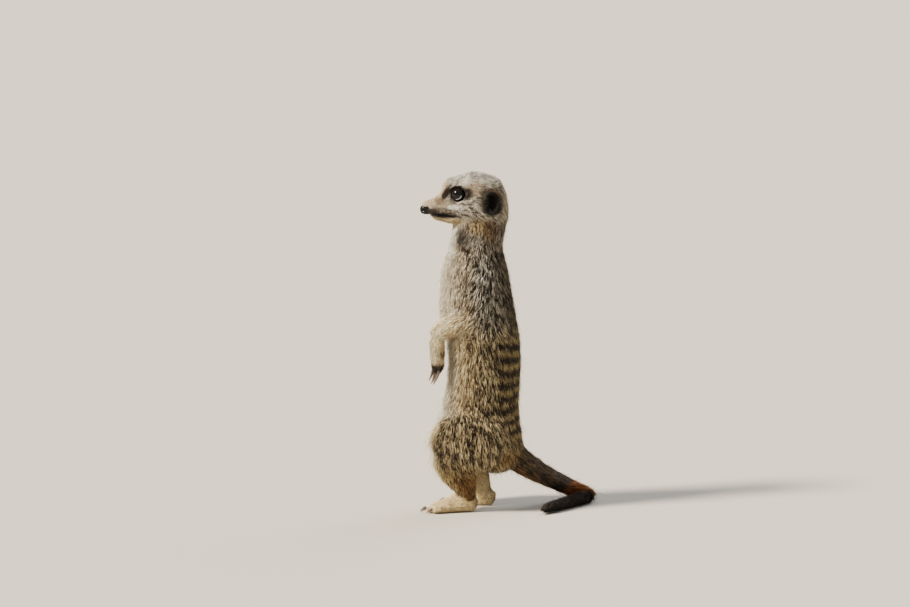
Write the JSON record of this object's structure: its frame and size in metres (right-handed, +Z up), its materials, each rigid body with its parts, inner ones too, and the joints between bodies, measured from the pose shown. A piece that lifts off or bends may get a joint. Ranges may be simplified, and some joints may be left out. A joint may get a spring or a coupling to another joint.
{
  "type": "meerkat",
  "caption": "Life-size still model of a meerkat standing upright on its hind feet and tail, forepaws hanging in front.",
  "frame": {"origin": "centre of the bounding box on the floor, under the animal", "axes": "+Z up, the animal faces -X, its left side is -Y"},
  "size_m": [0.1542, 0.0858, 0.2984],
  "materials": {
    "coat": "dense grizzled fur, lying flat, dark bands across the back",
    "face_coat": "very short pale grizzled fur",
    "limb_coat": "short buff fur",
    "tail_coat": "short dark brown fur, rusty underneath",
    "tail_tip_coat": "rusty fur that ends black",
    "ear_skin": "bare dark skin",
    "nose_skin": "moist dark skin",
    "eye": "wet, dark brown",
    "claw": "dark horn, slightly glossy"
  },
  "bodies": {
    "root": {"head": "face_coat", "neck": "coat", "trunk": "coat", "nose": "nose_skin", "eye_left": "eye", "ear_left": "ear_skin", "eye_right": "eye", "ear_right": "ear_skin", "tail_base": "tail_coat", "tail_middle": "tail_coat", "tail_tip": "tail_tip_coat", "upper_arm_left": "limb_coat", "forearm_left": "limb_coat", "hand_left": "limb_coat", "thigh_left": "coat", "shank_left": "limb_coat", "foot_left": "limb_coat", "finger_claw_left_1": "claw", "toe_claw_left_1": "claw", "finger_claw_left_2": "claw", "toe_claw_left_2": "claw", "finger_claw_left_3": "claw", "toe_claw_left_3": "claw", "finger_claw_left_4": "claw", "toe_claw_left_4": "claw", "upper_arm_right": "limb_coat", "forearm_right": "limb_coat", "hand_right": "limb_coat", "thigh_right": "coat", "shank_right": "limb_coat", "foot_right": "limb_coat", "finger_claw_right_1": "claw", "toe_claw_right_1": "claw", "finger_claw_right_2": "claw", "toe_claw_right_2": "claw", "finger_claw_right_3": "claw", "toe_claw_right_3": "claw", "finger_claw_right_4": "claw", "toe_claw_right_4": "claw"}
  },
  "joints": []
}
